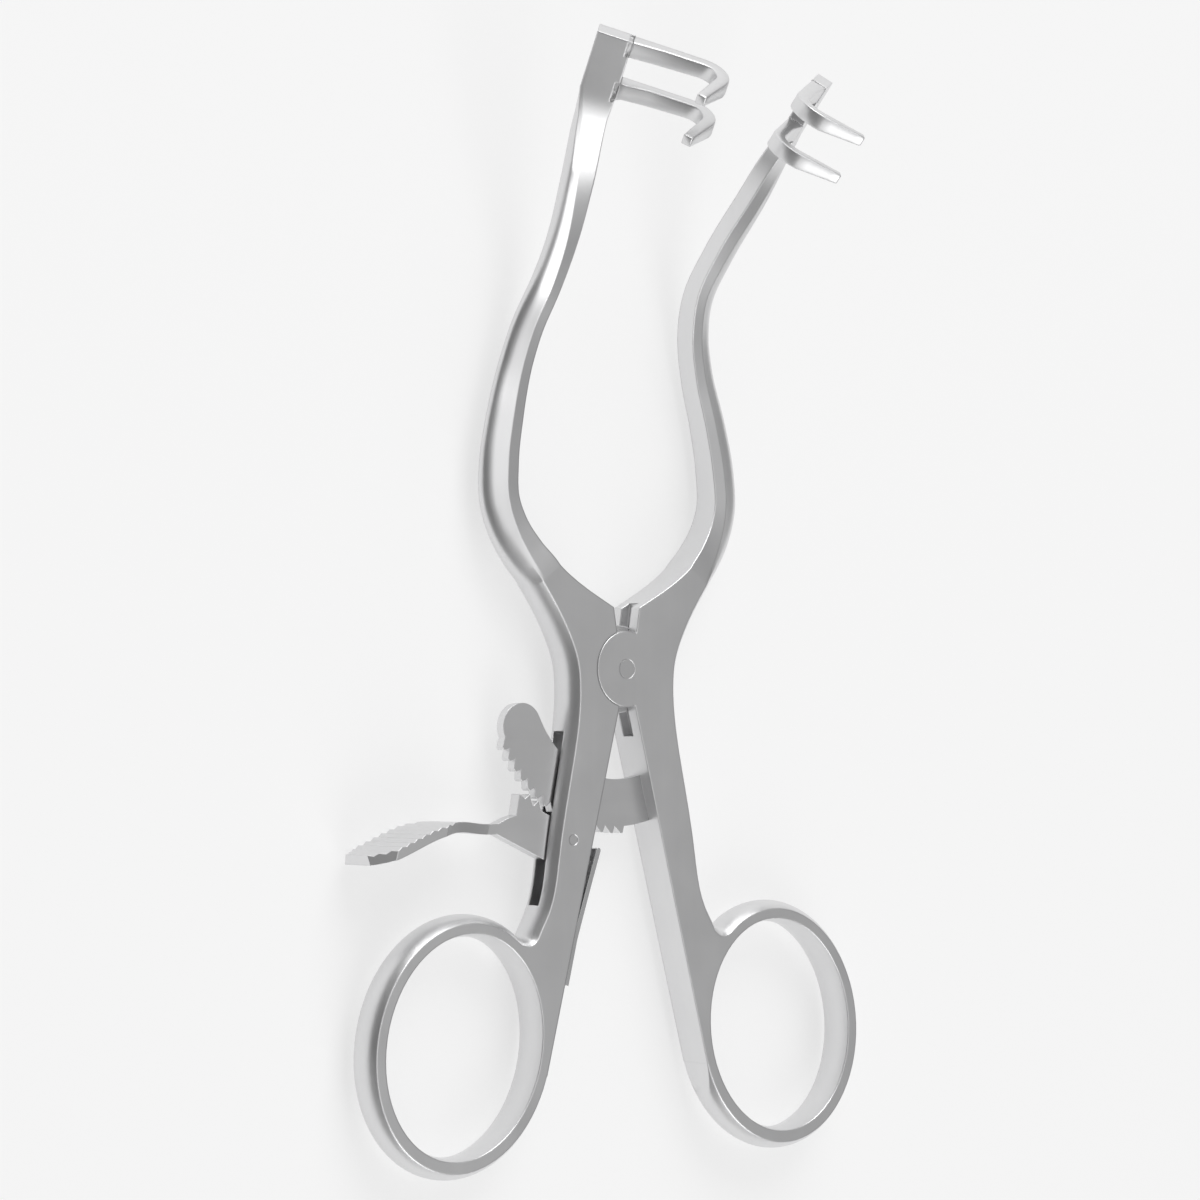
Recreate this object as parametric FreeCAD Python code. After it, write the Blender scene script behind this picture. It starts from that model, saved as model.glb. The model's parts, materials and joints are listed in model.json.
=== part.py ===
"""Self retaining retractor with two blunt prongs on each blade, 130 mm class.

Two mirrored arms turn on one lap joint. Each arm is a finger ring, a straight
shank, the joint, a bowed arm that lifts away from the table, and a raked blade.
A curved ratchet bar fixed in the right shank passes through a slot in the left
shank, where a pawl on a thumb lever holds it. A leaf spring under one screw
keeps the pawl in mesh.

Frame: millimetres. The origin is on the pivot axis in the back face of the
joint. +Y runs to the blades, +Z is the front face, +X is the right arm.
An arm is drawn closed, with its inner handle face just beside the centre
plane, on the +X side, and is then mirrored where it is the left one and opened
about the pivot. Distances along an arm are positive towards the blade.
"""
import FreeCAD, Part
import math
import os

from FreeCAD import Vector

# Stock and opening
THICKNESS = 4.8            # shank and joint, front face to back face
RING_THICKNESS = 4.1       # at the far end of the finger ring
HANDLE_ANGLE = 14.4        # each handle from the centre plane, as stored
INNER_GAP = 0.08           # inner handle face to the centre plane when closed
SIDE_BULGE = 1.15          # rounded outer side beyond the front face
OVERSHOOT = 0.25           # rough stock above each face before it is ground flat

# Finger ring
RING_ALONG = -46.98        # ring centre along the arm
RING_ACROSS_RADIUS = 10.98
RING_ALONG_RADIUS = 12.93
RING_FLAT = 0.9            # flat front of the ring band where it is full thickness
RING_LAND = 1.19           # ring opening to the inner handle face
RING_INNER_BULGE = 0.5
RING_STEPS = 20            # points that draw the ring
RING_START = -176.0        # degrees, where the ring leaves the inner face
RING_END = 108.0           # degrees, where the ring meets the shank fillet

# Outer front edge, from the ring fillet up to the bow
FILLET_POINTS = ((7.55, -34.28), (6.63, -34.42), (5.74, -34.1), (5.12, -33.42), (4.85, -32.5))
SHANK_POINTS = ((4.27, -30.3), (4.0, -28.0), (4.36, -23.2), (4.87, -16.0), (5.12, -11.0))
SHOULDER_POINTS = ((5.65, -6.2), (6.4, -3.0), (7.3, -0.8), (8.6, 1.1), (11.2, 3.9), (14.4, 6.65))

# Lap joint
DISC_RADIUS = 4.4
PIN_RADIUS = 1.1
TONGUE_THICKNESS = 1.7
TONGUE_RADIUS = 5.1
TURNING_GAP = 0.05         # disc in its socket, tongue in its slot
PIN_RUNNING_GAP = 0.04
MOUTH_DEPTH = 1.2          # slot mouth behind the inner faces
MOUTH_REACH = 8.1          # slot mouth from the pivot, each way
SHOULDER_FOOT = (2.45, 3.7)
SHOULDER_TIP = (3.65, 6.45)
CROTCH_POINTS = ((6.45, 7.1), (9.7, 8.0))
SEAM_WIDTH = 3.15          # front face where the bow leaves the joint

# Bow and lifted arm
BOW_DEPTH = 4.06
BOW_ACROSS = 22.0          # middle of the bow from the centre plane
BOW_WIDTH = 3.35
BOW_BULGE = 1.1
BOW_CORNER = ((16.35, 9.4, 41.0, 0.35), (18.9, 11.9, 52.0, 0.75), (20.8, 14.9, 66.0, 1.0))
BOW_START = 18.6           # straight part of the bow, along the arm
BOW_FULL = 24.0
WAIST_ALONG = 30.5
WAIST_WIDTH = 2.6
WAIST_DEPTH = 3.5
WAIST_BULGE = 0.85
BEND_ALONG = 40.0
BEND_RUN = 5.6             # each tangent length of the bend
LIFT_ANGLE = 37.9          # lifted arm above the table
SPLAY_ANGLE = 24.7         # lifted arm away from the handle direction
LIFTED_LENGTH = 33.4       # bend corner to the top edge of the blade
STEM_WIDTH = 2.2
STEM_DEPTH = 1.85
STEM_BULGE = 0.14
STEM_STEPS = 4
INNER_DROP = 0.1           # inner front bevel, share of the depth
OUTER_DROP = 0.2           # outer front bevel, share of the depth
RIDGE_PLACE = 0.62         # ridge between the two, share of the width

# Blade and prongs
PRONG_ROLL = 46.0          # prongs turned from inward towards the front
SPINE_WIDTH = 2.45         # blade spine behind the prong slots
SPINE_THICKNESS = 1.97
PRONG_THICKNESS = 1.5
PRONG_HEIGHT = 2.1
PRONG_TIP_HEIGHT = 0.75
PRONG_COUNT = 2
PRONG_PITCH = 5.16
PRONG_REACH = 14.96        # spine edge to the crown of the hook
HOOK_CROWN = 2.4           # crown above the outer face
HOOK_RISE = 7.6            # hook tip above the outer face
HOOK_TIP_REACH = 12.3
CROTCH_FILLET = 1.0

# Ratchet bar, angles from straight down towards the left handle, as stored
BAR_THICKNESS = 1.2
BAR_INNER_RADIUS = 12.8
BAR_ROOT_RADIUS = 18.25
TOOTH_DEPTH = 0.8
TOOTH_PITCH = 4.5
TOOTH_LAND = 0.7
FLANK_ANGLE = 18.0
MESH_ANGLE = 37.9          # gullet under the first pawl tooth
TEETH_BEFORE = 9           # gullets from the shank to the pawl
TEETH_AFTER = 6            # gullets from the pawl to the free end
TENON_LENGTH = 2.9
TENON_HEIGHT = 4.6
TENON_ALONG = -15.6

# Lever slot, lever and pin
SLOT_WIDTH = 1.9
SLOT_TOP = -9.0
SLOT_BOTTOM = -29.2
LEVER_THICKNESS = 1.5
LEVER_PIN_ACROSS = 2.93
LEVER_PIN_ALONG = -20.98
LEVER_PIN_RADIUS = 0.6
HUB_RADIUS = 1.7
PAWL_TEETH = 2
PAWL_GAP = 0.15            # radial room between meshed teeth
PAWL_BACKLASH = 0.2        # degrees between meshed steep flanks
RELEASE_ANGLE = 8.2        # lever swing from mesh to just clear
JAW_DEPTH = 2.3
JAW_START = 12.5           # degrees from the left shank's inner face
JAW_END = 31.5
NOSE_REACH = 0.55          # lever nose beyond the inner handle face
NOSE_ALONG = -22.9
NOSE_RADIUS = 0.5
NECK_THICKNESS = 1.16
PAD_WIDTH = 8.3
PAD_TIP_WIDTH = 2.8
PAD_CHAMFER = 3.3          # length of the pad's cut corners
PAD_RIDGES = 10
RIDGE_DEPTH = 0.22
PAD_PATH = ((12.4, -21.9), (16.3, -22.75), (19.8, -23.4), (23.3, -25.0), (26.8, -27.5), (30.4, -29.6))
PAD_SPREAD = (14.0, 22.0)  # where the neck starts and ends its widening

# Leaf spring and screw
SPRING_THICKNESS = 0.6
SPRING_WIDTH = 4.2
SPRING_TOP = -21.3
SPRING_BOTTOM = -37.3
SPRING_STANDOFF = 0.9      # free end from the inner handle face
SCREW_ALONG = -34.9
SCREW_HEAD_RADIUS = 1.05
SCREW_HEAD_HEIGHT = 1.0
SCREW_HEAD_RIM = 0.35
SCREW_SHANK_RADIUS = 0.5
SCREW_LENGTH = 3.2

MIDDLE = THICKNESS / 2.0
Z_AXIS = Vector(0, 0, 1)
ORIGIN = Vector(0, 0, 0)
TIP_RADIUS = BAR_ROOT_RADIUS + TOOTH_DEPTH


def polar(radius, degrees):
    """Point at an angle from straight down, positive towards +X."""
    angle = math.radians(degrees)
    return Vector(radius * math.sin(angle), -radius * math.cos(angle), 0)


def lift(point, height):
    """The same plan point at a height."""
    return Vector(point.x, point.y, height)


def plan(points):
    """Plan points from (x, y) pairs."""
    return [Vector(x, y, 0) for x, y in points]


def line_edges(points):
    """Straight edges through points."""
    return [Part.LineSegment(a, b).toShape() for a, b in zip(points, points[1:])]


def curve_edge(points):
    """One smooth edge through points."""
    spline = Part.BSplineCurve()
    spline.interpolate(points)
    return spline.toShape()


def slab(edges, bottom, top):
    """Solid between two heights on a closed plan outline."""
    face = Part.Face(Part.Wire(Part.__sortEdges__(edges)))
    face.translate(Vector(0, 0, bottom))
    return face.extrude(Vector(0, 0, top - bottom))


def disc(centre, radius, bottom, top):
    """Upright cylinder between two heights."""
    return Part.makeCylinder(radius, top - bottom, lift(centre, bottom), Z_AXIS)


def block(low, high):
    """Box between two corners."""
    size = high.sub(low)
    return Part.makeBox(size.x, size.y, size.z, low)


def as_left(shape):
    """Mirror a closed arm's piece and open it to the left."""
    result = shape.mirror(ORIGIN, Vector(1, 0, 0))
    result.rotate(ORIGIN, Z_AXIS, -HANDLE_ANGLE)
    return result


def as_right(shape):
    """Open a closed arm's piece to the right."""
    result = shape.copy()
    result.rotate(ORIGIN, Z_AXIS, HANDLE_ANGLE)
    return result


def ring_centre():
    """Centre of the finger ring in plan."""
    return Vector(INNER_GAP + RING_LAND + RING_ACROSS_RADIUS, RING_ALONG, 0)


def ring_ellipse(offset):
    """Ellipse along the ring opening, moved outwards by an offset."""
    major = RING_ALONG_RADIUS + offset
    minor = RING_ACROSS_RADIUS + offset
    centre = ring_centre()
    return Part.Ellipse(centre + Vector(0, major, 0), centre - Vector(minor, 0, 0), centre)


def ring_point(offset, degrees):
    """Point of the ring outline, counted from the outer side towards the blade."""
    angle = math.radians(degrees)
    across = (RING_ACROSS_RADIUS + offset) * math.cos(angle)
    along = (RING_ALONG_RADIUS + offset) * math.sin(angle)
    return ring_centre() + Vector(across, along, 0)


def outer_path():
    """Outer front edge from the foot of the ring, round it and up to the bow."""
    step = (RING_END - RING_START) / RING_STEPS
    points = [ring_point(RING_FLAT, RING_START + index * step) for index in range(RING_STEPS + 1)]
    points.extend(plan(FILLET_POINTS + SHANK_POINTS + SHOULDER_POINTS))
    return curve_edge(points)


def bulge_section(at, outwards, bulge, inset, spare):
    """Upright section of the rounded side, from inside the stock to its crown."""
    half = THICKNESS / 2.0
    radius = (half * half + bulge * bulge) / (2.0 * bulge)
    tall = half + spare
    back = bulge - radius + math.sqrt(radius * radius - tall * tall)
    low_in = lift(at - outwards * inset, MIDDLE - tall)
    high_in = lift(at - outwards * inset, MIDDLE + tall)
    low_out = lift(at + outwards * back, MIDDLE - tall)
    high_out = lift(at + outwards * back, MIDDLE + tall)
    crown = lift(at + outwards * bulge, MIDDLE)
    edges = line_edges([high_out, high_in, low_in, low_out])
    edges.append(Part.Arc(low_out, crown, high_out).toShape())
    return Part.Wire(Part.__sortEdges__(edges))


def sweep(path, section):
    """Solid made by one section that stays square to a path."""
    solid = Part.Wire([path]).makePipeShell([section], True, False)
    if solid.Volume < 0:
        solid.reverse()
    return solid


def seam(path):
    """Ends of the seam between joint and bow, inner then outer."""
    end = path.valueAt(path.LastParameter)
    along = path.tangentAt(path.LastParameter)
    return end - Vector(along.y, -along.x, 0) * SEAM_WIDTH, end


def handle(path):
    """Finger ring, shank and joint stock up to the bow, before grinding."""
    bottom = -OVERSHOOT
    top = THICKNESS + OVERSHOOT
    start = path.valueAt(path.FirstParameter)
    inner, outer = seam(path)
    crotch = plan([SHOULDER_TIP]) + plan(CROTCH_POINTS) + [inner]
    face = [Vector(INNER_GAP, start.y, 0), Vector(INNER_GAP, 0, 0)] + plan([SHOULDER_FOOT, SHOULDER_TIP])
    edges = [path, curve_edge(crotch)] + line_edges([start] + face) + line_edges([inner, outer])
    stock = slab(edges, bottom, top)
    stock = stock.cut(slab([ring_ellipse(0.0).toShape()], bottom, top))
    direction = path.tangentAt(path.FirstParameter)
    outwards = Vector(direction.y, -direction.x, 0)
    side = sweep(path, bulge_section(start, outwards, SIDE_BULGE, RING_FLAT * 0.4, OVERSHOOT * 1.3))
    opening = ring_ellipse(0.0).toShape()
    at = opening.valueAt(opening.FirstParameter)
    inwards = (ring_centre() - at).normalize()
    lining = sweep(opening, bulge_section(at, inwards, RING_INNER_BULGE, RING_FLAT * 0.4, OVERSHOOT * 1.6))
    stock = stock.fuse([side, lining])
    keep = block(Vector(INNER_GAP, -90, bottom - 1), Vector(60, 60, top + 1))
    return stock.common(keep)


class Station:
    """One section of the arm, between its inner and outer front edges."""

    def __init__(self, inner, outer, front, half, bulge, inner_drop, outer_drop, ridge):
        self.inner = inner
        self.outer = outer
        self.front = front
        self.half = half
        self.bulge = bulge
        self.inner_drop = inner_drop
        self.outer_drop = outer_drop
        self.ridge = ridge

    def wire(self):
        """Closed outline: inner wall, two facets in front, rounded side, two behind."""
        across = (self.outer - self.inner).normalize()
        width = (self.outer - self.inner).Length
        inner_half = self.half - self.inner_drop
        outer_half = self.half - self.outer_drop
        high_in = self.inner + self.front * inner_half
        low_in = self.inner - self.front * inner_half
        ridge = self.inner + across * (width * self.ridge)
        high_out = self.outer + self.front * outer_half
        low_out = self.outer - self.front * outer_half
        crown = self.outer + across * self.bulge
        points = [low_in, high_in, ridge + self.front * self.half, high_out]
        edges = line_edges(points)
        edges.append(Part.Arc(high_out, crown, low_out).toShape())
        edges.extend(line_edges([low_out, ridge - self.front * self.half, low_in]))
        return Part.Wire(edges)


def lifted_frame():
    """Direction of the lifted arm, its outward side and its front."""
    rise = math.radians(LIFT_ANGLE)
    splay = math.radians(SPLAY_ANGLE)
    along = Vector(math.cos(rise) * math.sin(splay), math.cos(rise) * math.cos(splay), math.sin(rise))
    outwards = Vector(math.cos(splay), -math.sin(splay), 0)
    front = outwards.cross(along)
    return along, outwards, front


def blade_frame():
    """Top corner of the blade and its reach, arm and outer face directions."""
    along, outwards, front = lifted_frame()
    roll = math.radians(PRONG_ROLL)
    reach = front * math.sin(roll) - outwards * math.cos(roll)
    face = front * math.cos(roll) + outwards * math.sin(roll)
    corner_of_bend = Vector(BOW_ACROSS, BEND_ALONG, BOW_DEPTH / 2.0)
    middle = corner_of_bend + along * LIFTED_LENGTH
    corner = middle - reach * (SPINE_WIDTH / 2.0) + face * (SPINE_THICKNESS / 2.0)
    return corner, reach, along, face


def centred_station(middle, outwards, front, width, depth, bulge, bevel):
    """Section centred on a point, its bevels grown to a share of their full size."""
    inner = middle - outwards * ((width + bulge) / 2.0)
    outer = inner + outwards * width
    ridge = RIDGE_PLACE + (1.0 - RIDGE_PLACE) * 0.9 * (1.0 - bevel)
    drops = depth * INNER_DROP * bevel, depth * OUTER_DROP * bevel
    return Station(inner, outer, front, depth / 2.0, bulge, drops[0], drops[1], ridge)


def arm_stations(path):
    """Sections of the arm from the seam to inside the blade."""
    inner, outer = seam(path)
    stations = [Station(lift(inner, MIDDLE), lift(outer, MIDDLE), Z_AXIS, MIDDLE, SIDE_BULGE, 0.0, 0.0, 0.96)]
    back = BOW_DEPTH / 2.0
    for x, y, heading, bevel in BOW_CORNER:
        angle = math.radians(heading)
        outwards = Vector(math.sin(angle), -math.cos(angle), 0)
        depth = THICKNESS + (BOW_DEPTH - THICKNESS) * bevel
        at = Vector(x, y, depth / 2.0)
        stations.append(centred_station(at, outwards, Z_AXIS, BOW_WIDTH, depth, BOW_BULGE, bevel))
    side = Vector(1, 0, 0)
    for along in (BOW_START, BOW_FULL):
        at = Vector(BOW_ACROSS, along, back)
        stations.append(centred_station(at, side, Z_AXIS, BOW_WIDTH, BOW_DEPTH, BOW_BULGE, 1.0))
    bend = Vector(BOW_ACROSS, BEND_ALONG, back)
    before = bend - Vector(0, BEND_RUN, 0)
    for at in (Vector(BOW_ACROSS, WAIST_ALONG, back), before):
        stations.append(centred_station(at, side, Z_AXIS, WAIST_WIDTH, WAIST_DEPTH, WAIST_BULGE, 1.0))
    along, outwards, front = lifted_frame()
    after = bend + along * BEND_RUN
    half_side = (side + outwards).normalize()
    half_front = (Z_AXIS + front).normalize()
    at = (before + after) * 0.25 + bend * 0.5
    stations.append(centred_station(at, half_side, half_front, WAIST_WIDTH, WAIST_DEPTH, WAIST_BULGE, 1.0))
    foot = LIFTED_LENGTH - blade_height() + 0.6
    for index in range(STEM_STEPS + 1):
        share = index / STEM_STEPS
        roll = math.radians(PRONG_ROLL * share)
        at = bend + along * (BEND_RUN + (foot - BEND_RUN) * share)
        turned_side = outwards * math.cos(roll) - front * math.sin(roll)
        turned_front = front * math.cos(roll) + outwards * math.sin(roll)
        width = WAIST_WIDTH + (STEM_WIDTH - WAIST_WIDTH) * share
        depth = WAIST_DEPTH + (STEM_DEPTH - WAIST_DEPTH) * share
        bulge = WAIST_BULGE + (STEM_BULGE - WAIST_BULGE) * share
        stations.append(centred_station(at, turned_side, turned_front, width, depth, bulge, 1.0))
    return stations


def blade_height():
    """Top edge of the blade to its foot."""
    return PRONG_PITCH * (PRONG_COUNT - 1) + PRONG_HEIGHT + CROTCH_FILLET


def bow(path):
    """Bow and lifted arm as one smooth skin from the seam to the blade."""
    return Part.makeLoft([station.wire() for station in arm_stations(path)], True, False)


def ground_faces():
    """Envelope that grinds the handle and joint flat and tapers the ring."""
    far = RING_ALONG - RING_ALONG_RADIUS - 10.0
    thin = (THICKNESS - RING_THICKNESS) / 2.0
    profile = [
        Vector(0, far, thin),
        Vector(0, -MOUTH_REACH, 0),
        Vector(0, 60, 0),
        Vector(0, 60, THICKNESS),
        Vector(0, -MOUTH_REACH, THICKNESS),
        Vector(0, far, THICKNESS - thin),
    ]
    face = Part.Face(Part.Wire(line_edges(profile + profile[:1])))
    face.translate(Vector(-20, 0, 0))
    return face.extrude(Vector(100, 0, 0))


def blade(drop):
    """Blade plate with raked prongs whose hooks turn outwards."""
    corner, reach, arm, face = blade_frame()
    origin = corner - arm * drop

    def at(out, up):
        return origin + reach * out + face * up

    back = -SPINE_THICKNESS
    front = back + PRONG_THICKNESS
    bend = PRONG_REACH - PRONG_THICKNESS - 2.6
    low_crown = at(PRONG_REACH - 1.3, back + 1.5)
    crown = at(PRONG_REACH, HOOK_CROWN)
    tip_out = at(HOOK_TIP_REACH + 0.95, HOOK_RISE - 0.1)
    tip_in = at(HOOK_TIP_REACH, HOOK_RISE - 0.25)
    tip_top = at(HOOK_TIP_REACH + 0.4, HOOK_RISE)
    throat = at(PRONG_REACH - 1.75, HOOK_CROWN + 0.4)
    throat_low = at(PRONG_REACH - 2.25, front + 1.2)
    spine_front = at(SPINE_WIDTH, 0.0)
    web_front = at(SPINE_WIDTH + 3.6, front)
    edges = line_edges([at(0, 0), at(0, back), at(bend, back)])
    outer = Part.BSplineCurve()
    outer.interpolate([at(bend, back), low_crown, crown, tip_out])
    edges.append(outer.toShape())
    edges.append(Part.Arc(tip_out, tip_top, tip_in).toShape())
    inner = Part.BSplineCurve()
    inner.interpolate([tip_in, throat, throat_low, at(bend, front)])
    edges.append(inner.toShape())
    edges.extend(line_edges([at(bend, front), web_front, spine_front, at(0, 0)]))
    profile = Part.Face(Part.Wire(Part.__sortEdges__(edges)))
    plate = profile.extrude(arm * -blade_height())

    def cutter(points):
        """Through cut seen square to the outer face, from (reach, down) pairs."""
        corners = [at(out, -30.0) - arm * down for out, down in points]
        outline = Part.Face(Part.Wire(line_edges(corners + corners[:1])))
        return outline.extrude(face * 60.0)

    far = PRONG_REACH + 5.0
    cuts = []
    for index in range(PRONG_COUNT):
        foot = index * PRONG_PITCH + PRONG_HEIGHT
        rise = 0.3
        if index < PRONG_COUNT - 1:
            gap = [(SPINE_WIDTH, foot), (far, foot - rise), (far, foot + PRONG_PITCH - PRONG_HEIGHT)]
            cuts.append(cutter(gap + [(SPINE_WIDTH, foot + PRONG_PITCH - PRONG_HEIGHT)]))
        else:
            below = [(SPINE_WIDTH + CROTCH_FILLET, foot), (far, foot - rise), (far, foot + 9.0)]
            cuts.append(cutter(below + [(SPINE_WIDTH, foot + 9.0), (SPINE_WIDTH, foot + CROTCH_FILLET)]))
        tip = [HOOK_CROWN - 1.0, HOOK_RISE + 0.5]
        heights = [foot - rise, index * PRONG_PITCH + PRONG_TIP_HEIGHT]
        wedge = [
            at(-1.0 + SPINE_WIDTH, tip[0]) - arm * (heights[0] + 0.2),
            at(-1.0 + SPINE_WIDTH, tip[1]) - arm * heights[1],
            at(-1.0 + SPINE_WIDTH, tip[1]) - arm * (heights[0] + 1.2),
            at(-1.0 + SPINE_WIDTH, tip[0]) - arm * (heights[0] + 1.2),
        ]
        outline = Part.Face(Part.Wire(line_edges(wedge + wedge[:1])))
        cuts.append(outline.extrude(reach * 40.0))
    return plate.cut(cuts)


def slot_cutter():
    """Slot through a shank for the ratchet bar and the lever."""
    half = SLOT_WIDTH / 2.0
    return block(Vector(-5, SLOT_BOTTOM, MIDDLE - half), Vector(12, SLOT_TOP, MIDDLE + half))


def left_arm():
    """Male half of the joint, with the lever slot."""
    low = MIDDLE - TONGUE_THICKNESS / 2.0
    high = MIDDLE + TONGUE_THICKNESS / 2.0
    path = outer_path()
    stock = handle(path).common(ground_faces())
    socket = DISC_RADIUS + TURNING_GAP
    stock = stock.cut([disc(ORIGIN, socket, high, THICKNESS + 1), disc(ORIGIN, socket, -1, low)])
    stock = stock.fuse(disc(ORIGIN, TONGUE_RADIUS, low, high))
    pin_hole = disc(ORIGIN, PIN_RADIUS + PIN_RUNNING_GAP, -1, THICKNESS + 1)
    lever_pin = Vector(LEVER_PIN_ACROSS, LEVER_PIN_ALONG, 0)
    pivot = disc(lever_pin, LEVER_PIN_RADIUS, -1, THICKNESS + 1)
    stock = stock.cut([pin_hole, slot_cutter(), pivot, screw_shank()])
    return stock.fuse([bow(path), blade(0.0)])


def right_arm():
    """Female half of the joint, with the round cheeks and the tenon pocket."""
    reach = TONGUE_RADIUS + TURNING_GAP
    low = MIDDLE - TONGUE_THICKNESS / 2.0 - TURNING_GAP
    high = MIDDLE + TONGUE_THICKNESS / 2.0 + TURNING_GAP
    path = outer_path()
    cheeks = disc(ORIGIN, DISC_RADIUS, -OVERSHOOT, THICKNESS + OVERSHOOT)
    stock = handle(path).fuse(cheeks).common(ground_faces())
    lower = block(Vector(-9, -MOUTH_REACH, low), Vector(INNER_GAP + MOUTH_DEPTH, 0, high))
    angle = math.atan2(SHOULDER_TIP[0] - SHOULDER_FOOT[0], SHOULDER_TIP[1] - SHOULDER_FOOT[1])
    upper = block(Vector(-9, 0, low), Vector(MOUTH_DEPTH, MOUTH_REACH, high))
    upper.rotate(ORIGIN, Z_AXIS, -math.degrees(angle))
    foot = Vector(SHOULDER_FOOT[0], SHOULDER_FOOT[1], 0)
    radial = Vector(math.sin(angle), math.cos(angle), 0)
    upper.translate(foot - radial * foot.dot(radial))
    cuts = [disc(ORIGIN, reach, low, high), lower, upper, disc(ORIGIN, PIN_RADIUS, -1, THICKNESS + 1)]
    return stock.cut(cuts + [tenon()]).fuse([bow(path), blade(PRONG_PITCH / 2.0)])


def tenon():
    """Square end of the ratchet bar inside the right shank."""
    half = BAR_THICKNESS / 2.0
    low = Vector(INNER_GAP - 0.3, TENON_ALONG - TENON_HEIGHT / 2.0, MIDDLE - half)
    high = Vector(INNER_GAP + TENON_LENGTH, TENON_ALONG + TENON_HEIGHT / 2.0, MIDDLE + half)
    return block(low, high)


def tooth_line(first, last, gap, backlash):
    """Saw tooth line of (radius, angle) pairs over gullets first to last."""
    flank = math.degrees(TOOTH_DEPTH * math.tan(math.radians(FLANK_ANGLE)) / BAR_ROOT_RADIUS)
    land = math.degrees(TOOTH_LAND / TIP_RADIUS) / 2.0
    pairs = []
    for index in range(first, last):
        start = MESH_ANGLE + index * TOOTH_PITCH - backlash
        pairs.append((BAR_ROOT_RADIUS + gap, start))
        pairs.append((TIP_RADIUS + gap, start + flank))
        pairs.append((TIP_RADIUS + gap, start + flank + land))
    pairs.append((BAR_ROOT_RADIUS + gap, MESH_ANGLE + last * TOOTH_PITCH - backlash))
    return pairs


def ratchet_bar():
    """Curved toothed bar on the pivot's centre, with a tenon in the right shank."""
    half = BAR_THICKNESS / 2.0
    teeth = tooth_line(-TEETH_BEFORE, TEETH_AFTER, 0.0, 0.0)
    end_angle = MESH_ANGLE + TEETH_AFTER * TOOTH_PITCH
    start_angle = MESH_ANGLE - TEETH_BEFORE * TOOTH_PITCH
    root_angle = -HANDLE_ANGLE - 4.0
    points = [polar(radius, -angle) for radius, angle in teeth]
    edges = line_edges(points)
    edges.append(Part.Arc(
        polar(BAR_ROOT_RADIUS, -root_angle),
        polar(BAR_ROOT_RADIUS, -(root_angle + start_angle) / 2.0),
        points[0],
    ).toShape())
    middle_radius = (BAR_INNER_RADIUS + BAR_ROOT_RADIUS) / 2.0
    round_end = math.degrees((BAR_ROOT_RADIUS - BAR_INNER_RADIUS) / 2.0 / middle_radius)
    edges.append(Part.Arc(
        points[-1],
        polar(middle_radius, -(end_angle + round_end)),
        polar(BAR_INNER_RADIUS, -end_angle),
    ).toShape())
    edges.append(Part.Arc(
        polar(BAR_INNER_RADIUS, -end_angle),
        polar(BAR_INNER_RADIUS, -(end_angle + root_angle) / 2.0),
        polar(BAR_INNER_RADIUS, -root_angle),
    ).toShape())
    edges.extend(line_edges([polar(BAR_INNER_RADIUS, -root_angle), polar(BAR_ROOT_RADIUS, -root_angle)]))
    bar = slab(edges, MIDDLE - half, MIDDLE + half)
    shank = as_right(block(Vector(INNER_GAP, -40, -5), Vector(30, 5, 10)))
    return bar.cut(shank).fuse(as_right(tenon()))


def pivot_pin():
    """Flush rivet through both cheeks and the tongue."""
    return disc(ORIGIN, PIN_RADIUS, 0, THICKNESS)


def lever_pin():
    """Flush pin across the left shank's slot."""
    centre = Vector(LEVER_PIN_ACROSS, LEVER_PIN_ALONG, 0)
    return disc(centre, LEVER_PIN_RADIUS, 0.12, THICKNESS - 0.12)


def jaw():
    """Toothed end of the lever, drawn in mesh and swung just clear."""
    half = LEVER_THICKNESS / 2.0
    teeth = tooth_line(-1, PAWL_TEETH, PAWL_GAP, PAWL_BACKLASH)[2:-2]
    pairs = [(radius, angle - HANDLE_ANGLE) for radius, angle in teeth]
    smooth = TIP_RADIUS + PAWL_GAP
    first = polar(smooth, JAW_START)
    last = polar(smooth, JAW_END)
    points = [polar(radius, angle) for radius, angle in pairs]
    middle = (JAW_START + pairs[0][1]) / 2.0
    edges = [Part.Arc(first, polar(smooth, middle), points[0]).toShape()]
    edges.extend(line_edges(points))
    middle = (JAW_END + pairs[-1][1]) / 2.0
    edges.append(Part.Arc(points[-1], polar(smooth, middle), last).toShape())
    deep = smooth + JAW_DEPTH
    edges.extend(line_edges([last, polar(deep, JAW_END - 3.0)]))
    edges.append(Part.Arc(
        polar(deep, JAW_END - 3.0),
        polar(deep, (JAW_START + JAW_END) / 2.0),
        polar(deep, JAW_START + 2.0),
    ).toShape())
    edges.extend(line_edges([polar(deep, JAW_START + 2.0), first]))
    solid = slab(edges, MIDDLE - half, MIDDLE + half)
    pin = Vector(LEVER_PIN_ACROSS, LEVER_PIN_ALONG, 0)
    solid.rotate(pin, Z_AXIS, -RELEASE_ANGLE)
    return solid


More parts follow.
